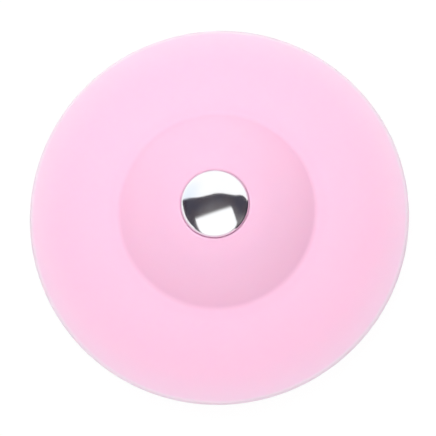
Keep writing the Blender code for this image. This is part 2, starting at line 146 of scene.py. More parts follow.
# How finely round shapes are divided.
COVER_STEPS = 192
BUTTON_STEPS = 128
CUP_STEPS = 160
SMALL_STEPS = 64

# Colours, as linear red, green and blue.
PINK = (0.985, 0.555, 0.754)
# Painted light: the flange pales towards its thin edge, as if lit through from below.
PINK_PAINTED_LIGHT_TO_LIP = (0.80, 0.71, 0.822)
# Painted shade: a deeper pink in the thick middle and over the collar at the dome's foot.
PINK_PAINTED_SHADE = (0.92, 0.532, 0.729)
# Painted light: the paler lip.
PINK_PAINTED_LIGHT_AT_LIP = (0.85, 0.75, 0.82)
PINK_MOTTLE = (0.975, 0.64, 0.80)
PINK_SPECKS = (0.99, 0.82, 0.90)
CHROME = (0.95, 0.955, 0.975)
CHROME_MOTTLE = (0.97, 0.975, 0.985)
# Painted reflection and painted shade: the chrome's rolled edge takes the rubber's pink and is darker.
CHROME_PAINTED_PINK_REFLECTION = (0.78, 0.62, 0.72)
OFF_WHITE = (0.80, 0.79, 0.77)
OFF_WHITE_MOTTLE = (0.84, 0.83, 0.81)
STEEL = (0.58, 0.57, 0.56)
STEEL_MOTTLE = (0.66, 0.65, 0.64)
WHITE = (1.0, 1.0, 1.0)


def on_arc(centre, radius, start, end, steps):
    """Points (r, z) on an arc, angles in degrees from the +r direction towards +z."""
    angles = [math.radians(start + (end - start) * i / steps) for i in range(steps + 1)]
    return [(centre[0] + radius * math.cos(a), centre[1] + radius * math.sin(a)) for a in angles]


def round_corners(outline, reach, steps=3):
    """Rounds each corner of a closed section, over a reach along both of its sides."""
    points = []
    for i, corner in enumerate(outline):
        here = Vector(corner)
        start = here + (Vector(outline[i - 1]) - here).normalized() * reach
        end = here + (Vector(outline[(i + 1) % len(outline)]) - here).normalized() * reach
        for k in range(steps + 1):
            t = k / steps
            points.append(tuple((1 - t) ** 2 * start + 2 * t * (1 - t) * here + t ** 2 * end))
    return points


def bend(line, bend_radius, to_slope, steps):
    """Carries a (radius, height, slope) line inwards and up along an arc, to a new slope."""
    radius, height, slope = line[-1]
    for i in range(1, steps + 1):
        new = slope + (to_slope - slope) * i / steps
        run = bend_radius * abs(math.sin(new) - math.sin(slope))
        rise = bend_radius * abs(math.cos(new) - math.cos(slope))
        line.append((radius - run, height + rise, new))


def go_straight(line, run, steps):
    """Carries the line inwards along its slope."""
    radius, height, slope = line[-1]
    for i in range(1, steps + 1):
        part = run * i / steps
        line.append((radius - part, height + part * math.tan(slope), slope))


def cover_top():
    """The cover's upper surface in section, from the top of its lip inwards to the hub's edge."""
    line = [(LIP_CENTRE[0], LIP_CENTRE[1] + LIP_THICKNESS / 2, RIM_SLOPE)]
    go_straight(line, RIM_RUN, 5)
    bend(line, CROWNED_RUN / (math.sin(RIM_SLOPE) - math.sin(FLANGE_SLOPE)), FLANGE_SLOPE, 9)
    fillet_run = FOOT_FILLET * (math.sin(WALL_SLOPE) - math.sin(FLANGE_SLOPE))
    go_straight(line, line[-1][0] - DOME_FOOT_RADIUS - fillet_run / 2, 2)
    bend(line, FOOT_FILLET, WALL_SLOPE, 10)
    go_straight(line, WALL_RUN, 2)
    dome_run = line[-1][0] - HUB_RADIUS
    bend(line, dome_run / (math.sin(WALL_SLOPE) - math.sin(HUB_SLOPE)), HUB_SLOPE, 16)
    return line


TOP_LINE = cover_top()
DOME_START = next(i for i, point in enumerate(TOP_LINE) if point[2] == WALL_SLOPE)
HUB_TOP = TOP_LINE[-1][1]
HUB_BOTTOM = HUB_TOP - HUB_THICKNESS
RECESS_FLOOR = HUB_TOP - RECESS_DEPTH
CAP_RIM_BOTTOM = RECESS_FLOOR + GAP
WASHER_BOTTOM = HUB_BOTTOM - GAP - WASHER_THICKNESS
STEM_TOP = WASHER_BOTTOM - GAP
STEM_BOTTOM = PLUG_TOP + GAP


def flange_underside(radius):
    """Height of the flange's lower face, which thickens towards the collar."""
    for (outer, low, _), (inner, high, _) in zip(TOP_LINE, TOP_LINE[1:]):
        if inner <= radius <= outer:
            top = low + (high - low) * (outer - radius) / (outer - inner)
            break
    inwards = (LIP_CENTRE[0] - radius) / (LIP_CENTRE[0] - COLLAR_OUTER)
    return top - LIP_THICKNESS - (FLANGE_AT_COLLAR - LIP_THICKNESS) * inwards


# Working by hand, in object and edit mode.

def start_piece(name):
    """Keeps the primitive just added as the only selected object, with its origin on the drain's axis."""
    piece = bpy.context.object
    piece.name = name
    piece.data.name = name
    bpy.ops.object.transform_apply(location=True, rotation=True, scale=True)
    bpy.ops.object.mode_set(mode="EDIT")
    bpy.ops.mesh.select_mode(type="VERT")
    return piece


def deselect_objects():
    """Clears the selection before a new primitive is added."""
    bpy.ops.object.select_all(action="DESELECT")


def new_box(name, centre, size):
    """Starts a box in edit mode."""
    deselect_objects()
    bpy.ops.mesh.primitive_cube_add(size=1, location=centre, scale=size)
    return start_piece(name)


def work_on(piece):
    """Makes a piece the active object and the only one selected."""
    deselect_objects()
    piece.select_set(True)
    bpy.context.view_layer.objects.active = piece


def edit_again(piece):
    """Opens a finished piece in edit mode once more."""
    work_on(piece)
    bpy.ops.object.mode_set(mode="EDIT")


def pick(piece, wanted, kind="VERT"):
    """Selects only the vertices whose place, edges whose ends or faces whose normal passes a test."""
    bpy.ops.mesh.select_mode(type=kind)
    bpy.ops.mesh.select_all(action="DESELECT")
    mesh = bmesh.from_edit_mesh(piece.data)
    if kind == "VERT":
        for vertex in mesh.verts:
            vertex.select = wanted(vertex.co)
    elif kind == "EDGE":
        for edge in mesh.edges:
            a, b = edge.verts
            edge.select = wanted(a.co, b.co)
    else:
        for face in mesh.faces:
            face.select = wanted(face.normal)
    mesh.select_flush_mode()
    bmesh.update_edit_mesh(piece.data)


def pick_end(piece, up=1):
    """Selects only the faces that look up, or those that look down where up is -1."""
    pick(piece, lambda normal: up * normal.z > 0.8, "FACE")


def bevel_edges(piece, wanted, width, segments):
    """Rounds the edges whose ends pass a test."""
    pick(piece, wanted, "EDGE")
    bpy.ops.mesh.bevel(offset=width, segments=segments, affect="EDGES")


def extrude_up(lift, spread=(1, 1), centre=(0, 0, 0)):
    """Extrudes what is picked along Z, and widens its new end about a centre."""
    bpy.ops.mesh.extrude_region_move(TRANSFORM_OT_translate={"value": (0, 0, lift)})
    bpy.ops.transform.resize(value=(*spread, 1), center_override=centre)


def merge_doubles(reach):
    """Merges points that lie within a reach of each other, and leaves everything selected."""
    bpy.ops.mesh.select_all(action="SELECT")
    bpy.ops.mesh.remove_doubles(threshold=reach)
    bpy.ops.mesh.select_all(action="SELECT")


def close_up(piece, angle=35):
    """Merges doubles, turns the faces outward and leaves edit mode, shaded smooth but for its corners."""
    bpy.ops.mesh.select_mode(type="VERT")
    merge_doubles(MERGE)
    bpy.ops.mesh.normals_make_consistent(inside=False)
    bpy.ops.mesh.select_all(action="DESELECT")
    bpy.ops.object.mode_set(mode="OBJECT")
    bpy.ops.object.shade_smooth_by_angle(angle=math.radians(angle))
    return piece


def drawn(name, line, reach):
    """Draws a line point by point as a new piece in edit mode, and joins its ends where they meet."""
    deselect_objects()
    bpy.ops.mesh.primitive_plane_add(size=MM, location=line[0])
    piece = start_piece(name)
    bpy.ops.mesh.select_all(action="SELECT")
    bpy.ops.mesh.merge(type="CENTER")
    for here, there in zip(line, line[1:]):
        move = {"value": tuple(b - a for a, b in zip(here, there))}
        bpy.ops.mesh.extrude_region_move(TRANSFORM_OT_translate=move)
    merge_doubles(reach)
    return piece


def turned(name, outline, steps, closed=True):
    """Draws a section in the XZ plane and spins it round the drain's axis."""
    line = [(r, 0, z) for r, z in outline + (outline[:1] if closed else [])]
    piece = drawn(name, line, MERGE)
    bpy.ops.mesh.spin(steps=steps, angle=math.tau, center=(0, 0, 0), axis=(0, 0, 1))
    return close_up(piece)


def ring_of_copies(count, offset=0.0):
    """In edit mode, repeats the whole shape round the drain's axis, and turns the ring by an offset."""
    bpy.ops.mesh.select_all(action="SELECT")
    share = math.tau * (count - 1) / count
    bpy.ops.mesh.spin(steps=count - 1, angle=share, dupli=True, center=(0, 0, 0), axis=(0, 0, 1))
    if offset:
        bpy.ops.mesh.select_all(action="SELECT")
        bpy.ops.transform.rotate(value=-offset, orient_axis="Z", center_override=(0, 0, 0))


def apply_all(piece):
    """Applies a piece's modifiers in their order."""
    work_on(piece)
    for modifier in list(piece.modifiers):
        bpy.ops.object.modifier_apply(modifier=modifier.name)


def combine(piece, helper, operation):
    """Cuts a helper out of a piece, or welds it on, and throws the helper away."""
    modifier = piece.modifiers.new("combine", "BOOLEAN")
    modifier.operation = operation
    modifier.object = helper
    modifier.solver = "EXACT"
    apply_all(piece)
    bpy.data.objects.remove(helper)


def clean_cut(piece):
    """Merges the slivers that a cut leaves."""
    edit_again(piece)
    bpy.ops.mesh.select_mode(type="VERT")
    merge_doubles(SLIVER)
    bpy.ops.mesh.dissolve_degenerate(threshold=SLIVER)
    bpy.ops.object.mode_set(mode="OBJECT")


def smooth_cut(piece):
    """Shades a cut piece smooth but for its corners, and keeps its flat faces flat."""
    clean_cut(piece)
    bpy.ops.object.shade_smooth_by_angle(angle=math.radians(50))
    piece.modifiers.new("flat_faces_stay_flat", "WEIGHTED_NORMAL").keep_sharp = True
    apply_all(piece)


def soften_edges(piece, width):
    """Gives a moulding's sharp edges a small radius."""
    clean_cut(piece)
    modifier = piece.modifiers.new("soften", "BEVEL")
    modifier.width = width
    modifier.segments = 2
    modifier.limit_method = "ANGLE"
    modifier.angle_limit = math.radians(50)
    modifier.use_clamp_overlap = True
    apply_all(piece)
    smooth_cut(piece)


# The silicone pieces.

def button_recess(radius, groove_floor):
    """The section of the recess that the button sits in, with a narrow groove round its floor."""
    edge = 0.15 * MM
    edge_height = HUB_TOP + (HUB_RADIUS - radius - edge) * math.tan(HUB_SLOPE) - edge
    edge_end = 90 + math.degrees(HUB_SLOPE)
    points = [(SKIN_EDGE, RECESS_FLOOR), (radius - 0.6 * MM, RECESS_FLOOR)]
    points += [(radius - 0.4 * MM, groove_floor), (radius - 0.05 * MM, groove_floor)]
    points += [(radius, groove_floor + 0.1 * MM)]
    return points + on_arc((radius + edge, edge_height), edge, 180, edge_end, 4)


def cover_lip():
    """The section of the lip, which runs out at 45 degrees above and below to a small radius."""
    half = LIP_THICKNESS / 2
    point = (LIP_CENTRE[0] + (half - LIP_POINT) * math.sqrt(2), LIP_CENTRE[1])
    points = on_arc(LIP_CENTRE, half, 70, 45, 4)
    points += on_arc(point, LIP_POINT, 45, -45, 5)
    return points + on_arc(LIP_CENTRE, half, -45, -84, 6)


def collar():
    """The section of the collar under the dome's foot, with the groove that the plate snaps into."""
    corner = 1.0 * MM
    edge = 0.5 * MM
    root = flange_underside(COLLAR_OUTER)
    points = on_arc((COLLAR_OUTER + corner, root - 0.85 * corner), corner, 90, 180, 5)
    points += on_arc((COLLAR_OUTER - edge, COLLAR_BOTTOM + edge), edge, 0, -90, 4)
    points += on_arc((COLLAR_LIP + edge, COLLAR_BOTTOM + edge), edge, -90, -180, 4)
    groove = PLATE_RADIUS + GAP
    points += [(COLLAR_LIP, PLATE_BOTTOM - GAP), (groove, PLATE_BOTTOM - GAP)]
    return points + [(groove, PLATE_TOP + GAP), (COLLAR_LIP, PLATE_TOP + GAP)]


def dome_underside():
    """The section of the dome's lower face, from a round corner over the collar to the thick middle."""
    points = []
    for r, z, slope in TOP_LINE[DOME_START:]:
        points.append((r - DOME_THICKNESS * math.sin(slope), z - DOME_THICKNESS * math.cos(slope)))
    wall_r, wall_z = points[0]
    meet = wall_z - (COLLAR_LIP - wall_r) * math.tan(WALL_SLOPE)
    radius = 1.2 * MM
    corner = on_arc((COLLAR_LIP - radius, meet - 0.5 * MM), radius, 0, 40, 4)
    inside = [point for point in points if point[0] < COLLAR_LIP - 0.4 * MM]
    return corner + inside + [(SKIN_EDGE, inside[-1][1] + 0.3 * MM)]


def silicone_cover():
    """Flange, dome and the dome's middle in one skin, with the grooved collar under the dome's foot."""
    recess = BUTTON_RADIUS + CAP_CLEARANCE
    groove_floor = RECESS_FLOOR - 0.10 * MM
    under = [r for r, _, _ in TOP_LINE[1:] if COLLAR_OUTER + 2.0 * MM < r]
    outline = button_recess(recess, groove_floor)
    outline += [(r, z) for r, z, _ in reversed(TOP_LINE[1:])]
    outline += cover_lip()
    outline += [(r, flange_underside(r)) for r in under]
    outline += collar() + dome_underside()
    cover = turned("silicone_cover", outline, COVER_STEPS)
    edit_again(cover)
    pick(cover, lambda co: math.hypot(co.x, co.y) < recess + 0.3 * MM and co.z > groove_floor - 0.05 * MM)
    bpy.ops.transform.translate(value=(*CAP_LEAN, 0))
    bpy.ops.object.mode_set(mode="OBJECT")
    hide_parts("silicone_skirt", "flex_dome")
    return cover


def hub_block():
    """The thick middle under the dome's skin, which the button and its washer clamp."""
    inner = SPIGOT_RADIUS + GAP
    outer = HUB_RADIUS - 0.6 * MM
    top = RECESS_FLOOR - 0.4 * MM
    radius = 1.3 * MM
    outline = [(inner, top), (inner, HUB_BOTTOM + 0.3 * MM), (inner + 0.3 * MM, HUB_BOTTOM)]
    outline += on_arc((outer - radius, HUB_BOTTOM + radius), radius, -90, 0, 6)
    outline += [(outer, top)]
    hub = turned("dome_hub_block", outline, BUTTON_STEPS)
    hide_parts("dome_hub")
    return hub


def hair_ridges():
    """The radial ridges that hold the rim off the basin, each with round ends and a flared root."""
    length = RIDGE_END - RIDGE_START
    middle = (RIDGE_START + RIDGE_END) / 2
    high = flange_underside(RIDGE_START) - ROOT_FLARE
    low = flange_underside(RIDGE_END) - ROOT_FLARE
    height = high - BASIN_FLOOR
    end_round = 0.62 * MM
    foot_round = 0.3 * MM
    centre = (middle, 0, BASIN_FLOOR + height / 2)
    ridges = new_box("hair_ridges", centre, (length, RIDGE_WIDTH, height))
    bevel_edges(ridges, lambda a, b: abs(a.x - b.x) < TOUCH and abs(a.y - b.y) < TOUCH, end_round, 4)
    bevel_edges(ridges, lambda a, b: max(a.z, b.z) < BASIN_FLOOR + TOUCH, foot_round, 3)
    # The upper face tilts with the flange.
    mesh = bmesh.from_edit_mesh(ridges.data)
    for vertex in mesh.verts:
        if vertex.co.z > BASIN_FLOOR + 0.9 * height:
            vertex.co.z = high + (low - high) * (vertex.co.x - RIDGE_START) / length
    bmesh.update_edit_mesh(ridges.data)
    # The root widens in three steps and ends inside the flange.
    pick_end(ridges)
    for lift, spread in ((0.16 * MM, 0.06 * MM), (0.14 * MM, 0.18 * MM), (0.25 * MM, 0.1 * MM)):
        scale = (1 + 2 * spread / length, 1 + 2 * spread / RIDGE_WIDTH)
        extrude_up(lift, scale, (middle, 0, high))
    ring_of_copies(RIDGES)
    close_up(ridges, 50)
    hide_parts("silicone_skirt")
    return ridges


def hair_teeth():
    """Two staggered rings of tapered teeth with round tips and flared roots."""
    bottom = BASIN_FLOOR + TOOTH_CLEARANCE
    tip_round = 0.45 * MM
    rings = []
    for number, circle in enumerate(TOOTH_RINGS):
        length = flange_underside(circle) - ROOT_FLARE - bottom
        deselect_objects()
        bpy.ops.mesh.primitive_cone_add(
            vertices=16, radius1=TOOTH_TIP, radius2=TOOTH_ROOT, depth=length,
            location=(circle, 0, bottom + length / 2),
        )
        ring = start_piece(f"hair_teeth_{number + 1}")
        bevel_edges(ring, lambda a, b: max(a.z, b.z) < bottom + TOUCH, tip_round, 4)
        # The root widens here as it does on the ridges.
        pick_end(ring)
        for lift, spread in ((0.16 * MM, 1.05), (0.14 * MM, 1.17), (0.35 * MM, 1.1)):
            extrude_up(lift, (spread, spread), (circle, 0, bottom))
        ring_of_copies(TEETH, math.pi / TEETH * number)
        close_up(ring, 50)
        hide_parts("silicone_skirt")
        rings.append(ring)
    return rings


def plug_disc():
    """The soft stopper, thinning towards its round sealing edge, with a shallow moulded ring below."""
    lip = 0.9 * MM
    ring = 9.6 * MM
    outline = [(SCREW_BORE, PLUG_BOTTOM), (ring - 0.6 * MM, PLUG_BOTTOM)]
    outline += on_arc((ring, PLUG_BOTTOM), 0.25 * MM, 180, 0, 5)
    outline += on_arc((PLUG_RADIUS - lip / 2, PLUG_BOTTOM + lip / 2), lip / 2, -90, 90, 10)
    start = STEM_FLANGE + 2.0 * MM
    outline += [(start + 0.6 * MM, PLUG_TOP - 0.08 * MM), (start, PLUG_TOP), (SCREW_BORE, PLUG_TOP)]
    disc = turned("plug_disc_soft", outline, BUTTON_STEPS)
    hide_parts("plug_disc")
    return disc


def pipe_seal():
    """The soft ring with two upswept fins, each with a round edge."""
    inner = CUP_RADIUS + GAP
    body = inner + 1.0 * MM
    bottom = SEAL_FLANGE_THICKNESS + GAP
    top = BEAD_FOOT - GAP
    fin = 0.7 * MM
    sweep = 0.9 * MM
    outline = [(inner, bottom), (body - 0.15 * MM, bottom), (body, bottom + 0.1 * MM)]
    for edge, start in zip(SEAL_FIN_RADII, (bottom + 0.1 * MM, bottom + 1.55 * MM)):
        half = 0.25 * fin
        outline += [(body + 0.2 * MM, start + 0.02 * MM)]
        outline += on_arc((edge - half, start + sweep + half), half, -55, 115, 7)
        outline += [(body + 0.25 * MM, start + fin + 0.08 * MM), (body, start + fin + 0.25 * MM)]
    outline += [(body, top - 0.15 * MM), (body - 0.15 * MM, top), (inner, top)]
    seal = turned("pipe_seal_soft", outline, CUP_STEPS)
    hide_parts("pipe_seal")
    return seal


# The button and the plunger.

def crown(inset, edge_steps, top_steps):
    """The cap's outer surface in section, from its side to its top, taken in by an inset."""
    side_top = CAP_RIM_BOTTOM + CAP_SIDE
    centre_radius = BUTTON_RADIUS - CAP_EDGE_ROUND
    to = 90 - math.degrees(CAP_EDGE_SLOPE)
    points = on_arc((centre_radius, side_top), CAP_EDGE_ROUND - inset, 0, to, edge_steps)
    edge_radius = centre_radius + CAP_EDGE_ROUND * math.sin(CAP_EDGE_SLOPE)
    sphere = edge_radius / math.sin(CAP_EDGE_SLOPE)
    edge_height = side_top + CAP_EDGE_ROUND * math.cos(CAP_EDGE_SLOPE)
    centre = (0.0, edge_height - sphere * math.cos(CAP_EDGE_SLOPE))
    points += on_arc(centre, sphere - inset, to, 90, top_steps)[1:]
    points[-1] = (0.0, points[-1][1])
    return points


def chromed_cap():
    """The pressed shell: a crowned top, a rolled edge and a turned-in rim."""
    rim = 0.12 * MM
    outer = on_arc((BUTTON_RADIUS - rim, CAP_RIM_BOTTOM + rim), rim, -90, 0, 3) + crown(0.0, 12, 24)
    inner = [(BUTTON_RADIUS - CAP_SHELL, CAP_RIM_BOTTOM)] + crown(CAP_SHELL, 4, 8)
    cap = turned("chromed_cap", outer[::-1] + inner, BUTTON_STEPS, closed=False)
    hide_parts("button_cap")
    return cap


def disc_edge(outer, bottom, top, corner):
    """The outer side of a disc's section, with its lower and its upper edge rounded."""
    lower = on_arc((outer - corner, bottom + corner), corner, -90, 0, 3)
    return lower + on_arc((outer - corner, top - corner), corner, 0, 90, 3)


def hub_washer():
    """The plastic washer that clamps the dome's middle from below."""
    top = WASHER_BOTTOM + WASHER_THICKNESS
    outline = [(SCREW_BORE, WASHER_BOTTOM), (SPIGOT_RADIUS, WASHER_BOTTOM)]
    outline += disc_edge(WASHER_RADIUS, WASHER_BOTTOM, top, 0.25 * MM) + [(SCREW_BORE, top)]
    washer = turned("clamp_washer", outline, SMALL_STEPS)
    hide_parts("hub_washer")
    return washer


def plunger_stem():
    """The sliding tube with the flange that backs the plug."""
    flange_top = PLATE_BOTTOM - GAP
    fillet = 0.4 * MM
    corner = 0.2 * MM
    outline = [(SCREW_BORE, STEM_BOTTOM), (STEM_FLANGE - corner, STEM_BOTTOM)]
    outline += [(STEM_FLANGE, STEM_BOTTOM + corner)]
    outline += on_arc((STEM_FLANGE - corner, flange_top - corner), corner, 0, 90, 3)
    outline += on_arc((STEM_RADIUS + fillet, flange_top + fillet), fillet, -90, -180, 4)
    outline += [(STEM_RADIUS, STEM_TOP - corner), (STEM_RADIUS - corner, STEM_TOP), (SCREW_BORE, STEM_TOP)]
    stem = turned("sliding_stem", outline, SMALL_STEPS)
    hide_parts("plunger_stem")
    return stem


def plug_washer():
    """The steel washer under the soft stopper."""
    top = PLUG_BOTTOM - GAP
    bottom = top - PLUG_WASHER_THICKNESS
    outline = [(SCREW_BORE, bottom)] + disc_edge(PLUG_WASHER_RADIUS, bottom, top, 0.15 * MM)
    washer = turned("steel_washer", outline + [(SCREW_BORE, top)], SMALL_STEPS)
    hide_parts("plug_washer")
    return washer


def screw_section(head_bottom):
    """The screw's section: a pan head, and a plain shank with a blunt tip."""
    head_top = head_bottom + SCREW_HEAD_HEIGHT
    tip = HUB_TOP - 1.0 * MM
    shank = 1.5 * MM
    crown_rise = 1.0 * MM
    outline = [(0.0, head_bottom), (0.45 * SCREW_HEAD_RADIUS, head_bottom + 0.02 * MM)]
    for degrees in range(36, 91, 9):
        angle = math.radians(degrees)
        rise = crown_rise * (1 - math.cos(angle)) ** 1.2
        outline.append((SCREW_HEAD_RADIUS * math.sin(angle), head_bottom + rise))
    outline += [(SCREW_HEAD_RADIUS, head_top - 0.1 * MM), (SCREW_HEAD_RADIUS - 0.1 * MM, head_top)]
    return outline + [(shank, head_top), (shank, tip - 0.8 * MM), (0.5 * shank, tip), (0.0, tip)]


def stem_screw():
    """A pan-head screw with a cross recess, driven from below."""
    head_bottom = PLUG_BOTTOM - GAP - PLUG_WASHER_THICKNESS - GAP - SCREW_HEAD_HEIGHT
    screw = turned("pan_head_screw", screw_section(head_bottom), SMALL_STEPS, closed=False)
    length, width, depth = CROSS_RECESS
    for size in ((length, width, 2 * depth), (width, length, 2 * depth)):
        blade = new_box("driver_blade", (0, 0, head_bottom), size)
        pick_end(blade)
        bpy.ops.transform.resize(value=(0.7, 0.7, 1), center_override=(0, 0, head_bottom + depth))
        combine(screw, close_up(blade), "DIFFERENCE")
    smooth_cut(screw)
    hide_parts("stem_screw")
    return screw


# The plate and the cup.

def plate_body(opening):
    """The plate with the collar that the cup hangs from, turned in one section."""
    collar_outer = CUP_INNER - GAP
    collar_bottom = PLUG_TOP + GAP
    outline = [(opening, collar_bottom), (collar_outer, collar_bottom), (collar_outer, PLATE_BOTTOM)]
    outline += [(PLATE_RADIUS, PLATE_BOTTOM), (PLATE_RADIUS, PLATE_TOP), (opening, PLATE_TOP)]
    return turned("snap_in_plate", round_corners(outline, PLATE_ROUND), CUP_STEPS)


def guide_ring(inner):
    """The ring that the stem slides in."""
    outer = inner + GUIDE_WALL
    top = PLATE_TOP + GUIDE_HEIGHT
    outline = [(inner, PLATE_BOTTOM), (outer, PLATE_BOTTOM), (outer, top), (inner, top)]
    return turned("guide_ring", round_corners(outline, PLATE_ROUND), SMALL_STEPS)


def guide_arms(start, end):
    """Four arms with rounded edges, from the guide ring out to the plate."""
    centre = ((start + end) / 2, 0, (PLATE_BOTTOM + PLATE_TOP) / 2)
    size = (end - start, ARM_WIDTH, PLATE_TOP - PLATE_BOTTOM - 0.2 * MM)
    arms = new_box("guide_arms", centre, size)
    bevel_edges(arms, lambda a, b: abs(a.x - b.x) > 1 * MM, PLATE_ROUND, 2)
    ring_of_copies(4, math.pi / 4)
    return close_up(arms)


def plate_holes():
    """The cutter for the plate's ring of holes, flared at both ends."""
    deselect_objects()
    bpy.ops.mesh.primitive_cylinder_add(
        vertices=24, radius=PLATE_HOLE_RADIUS, depth=PLATE_TOP - PLATE_BOTTOM - HOLE_MOUTH,
        location=(PLATE_HOLE_CIRCLE, 0, (PLATE_BOTTOM + PLATE_TOP) / 2),
    )
    holes = start_piece("plate_holes")
    for up in (1, -1):
        pick_end(holes, up)
        extrude_up(HOLE_MOUTH * up, (HOLE_FLARE, HOLE_FLARE), (PLATE_HOLE_CIRCLE, 0, 0))
    ring_of_copies(PLATE_HOLES)
    return close_up(holes)


def guide_plate():
    """The snap-in plate: strainer holes, and four arms that hold the stem's guide."""
    opening = CUP_INNER - GAP - CUP_WALL
    guide_inner = STEM_RADIUS + GAP
    plate = plate_body(opening)
    combine(plate, guide_ring(guide_inner), "UNION")
    combine(plate, guide_arms(guide_inner + 0.5 * MM, opening + 0.6 * MM), "UNION")
    combine(plate, plate_holes(), "DIFFERENCE")
    smooth_cut(plate)
    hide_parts("guide_plate")
    return plate


def cup_section():
    """The cup's section, with the round seat, the base, and the flange and bead that hold the seal."""
    flange = CUP_RADIUS + SEAL_FLANGE
    bead = flange - 0.2 * MM
    seat_outer = SEAT_RADIUS + SEAT_WIDTH
    outline = [(SEAT_RADIUS, 0.0), (flange, 0.0), (flange, SEAL_FLANGE_THICKNESS)]
    outline += [(CUP_RADIUS, SEAL_FLANGE_THICKNESS), (CUP_RADIUS, BEAD_FOOT), (bead, BEAD_FOOT)]
    outline += [(CUP_RADIUS, BAND_TOP + 0.2 * MM), (CUP_RADIUS, CUP_RING_TOP)]
    outline += [(CUP_INNER, CUP_RING_TOP), (CUP_INNER, BASE_THICKNESS), (seat_outer, BASE_THICKNESS)]
    seat_centre = (SEAT_RADIUS + SEAT_WIDTH / 2, SEAT_TOP - SEAT_WIDTH / 2)
    return outline + on_arc(seat_centre, SEAT_WIDTH / 2, 0, 180, 8)


def cup_slots():
    """The cutter for the cup's slots, with round ends, which leaves the bars."""
    bottom = BAND_TOP + 0.3 * MM
    top = CUP_RING_TOP - 1.3 * MM
    middle = CUP_RADIUS - CUP_WALL / 2
    width = math.tau * middle / CUP_BARS - BAR_WIDTH
    size = (CUP_WALL + 2 * MM, width, top - bottom)
    slots = new_box("cup_slots", (middle, 0, (bottom + top) / 2), size)
    bevel_edges(slots, lambda a, b: abs(a.x - b.x) > 1 * MM, 0.6 * MM, 4)
    ring_of_copies(CUP_BARS)
    return close_up(slots)


def strainer_cup():
    """The slotted cup: seat, base, seal groove, bars and top ring in one moulding."""
    cup = turned("slotted_cup", cup_section(), CUP_STEPS)
    combine(cup, cup_slots(), "DIFFERENCE")
    soften_edges(cup, CUP_EDGE_ROUND)
    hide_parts("strainer_cup")
    return cup


# Finishes. Every pattern reads Object coordinates, in metres.

def node(tree, kind, **settings):
    """Adds a node with its settings."""
    made = tree.nodes.new(kind)
    for name, value in settings.items():
        setattr(made, name, value)
    return made


def feed(tree, socket, value):
    """Gives a socket a number or a colour of its own, or links an output to it."""
    if isinstance(value, tuple):
        socket.default_value = (*value, 1.0)
    elif isinstance(value, (int, float)):
        socket.default_value = value
    else:
        tree.links.new(value, socket)


def new_group(name, inputs, outputs):
    """A shader node group with named inputs and outputs; returns its tree and its two end nodes."""
    tree = bpy.data.node_groups.new(name, "ShaderNodeTree")
    for label, kind, value in inputs:
        socket = tree.interface.new_socket(label, in_out="INPUT", socket_type=kind)
        socket.default_value = value
    for label, kind in outputs:
        tree.interface.new_socket(label, in_out="OUTPUT", socket_type=kind)
    return tree, node(tree, "NodeGroupInput"), node(tree, "NodeGroupOutput")


def place_of_point(tree, kind="Object"):
    """Where the point lies that is being shaded."""
    return node(tree, "ShaderNodeTexCoord").outputs[kind]


def split_up(tree, place):
    """The X, Y and Z of a place or a direction."""
    split = node(tree, "ShaderNodeSeparateXYZ")
    tree.links.new(place, split.inputs[0])
    return split.outputs


def noise(tree, place, scale, detail, rough=0.5):
    """A cloudy pattern between 0 and 1, with so many waves to the metre."""
    made = node(tree, "ShaderNodeTexNoise")
    for name, value in (("Vector", place), ("Scale", scale), ("Detail", detail), ("Roughness", rough)):
        feed(tree, made.inputs[name], value)
    return made.outputs["Fac"]


def maths(tree, operation, *values):
    """One sum on numbers or outputs."""
    made = node(tree, "ShaderNodeMath", operation=operation)
    for socket, value in zip(made.inputs, values):
        feed(tree, socket, value)
    return made.outputs[0]


def fade(tree, value, none, full):
    """A smooth step of a value, from 0 where it is at one limit to 1 at the other."""
    made = node(tree, "ShaderNodeMapRange", interpolation_type="SMOOTHSTEP")
    for name, number in (("Value", value), ("From Min", none), ("From Max", full)):
        feed(tree, made.inputs[name], number)
    return made.outputs["Result"]


def blend_colours(tree, factor, first, second):
    """The first colour where the factor is 0, the second where it is 1."""
    made = node(tree, "ShaderNodeMix", data_type="RGBA")
    for number, value in ((0, factor), (6, first), (7, second)):
        feed(tree, made.inputs[number], value)
    return made.outputs[2]


def moulded_grain_group():
    """The fine matt grain of a spark-finished mould: a height, a slow mottle and sparse specks."""
    tree, start, end = new_group(
        "moulded_grain",
        [("Grain Scale", "NodeSocketFloat", 3000.0), ("Mottle Scale", "NodeSocketFloat", 90.0)],
        [("Height", "NodeSocketFloat"), ("Mottle", "NodeSocketFloat"), ("Specks", "NodeSocketFloat")],
    )
    place = place_of_point(tree)
    fine = noise(tree, place, start.outputs["Grain Scale"], detail=2.0, rough=0.6)
    middle = noise(tree, place, 700.0, detail=2.0)
    both = maths(tree, "MULTIPLY_ADD", middle, 0.5, fine)
    tree.links.new(maths(tree, "DIVIDE", both, 1.5), end.inputs["Height"])
    slow = noise(tree, place, start.outputs["Mottle Scale"], detail=4.0, rough=0.55)
    tree.links.new(fade(tree, slow, 0.3, 0.7), end.inputs["Mottle"])
    dots = node(tree, "ShaderNodeTexVoronoi", feature="F1", distance="EUCLIDEAN")
    dots.inputs["Scale"].default_value = 240.0
    tree.links.new(place, dots.inputs["Vector"])
    tree.links.new(fade(tree, dots.outputs["Distance"], 0.10, 0.05), end.inputs["Specks"])
    return tree


def distance_from(tree, x, y):
    """How far a point lies from an upright line through (x, y), in metres."""
    vector = place_of_point(tree)
    for operation, operand in (("SUBTRACT", (x, y, 0)), ("MULTIPLY", (1, 1, 0))):
        made = node(tree, "ShaderNodeVectorMath", operation=operation)
        tree.links.new(vector, made.inputs[0])
        made.inputs[1].default_value = operand
        vector = made.outputs[0]
    length = node(tree, "ShaderNodeVectorMath", operation="LENGTH")
    tree.links.new(vector, length.inputs[0])
    return length.outputs["Value"]


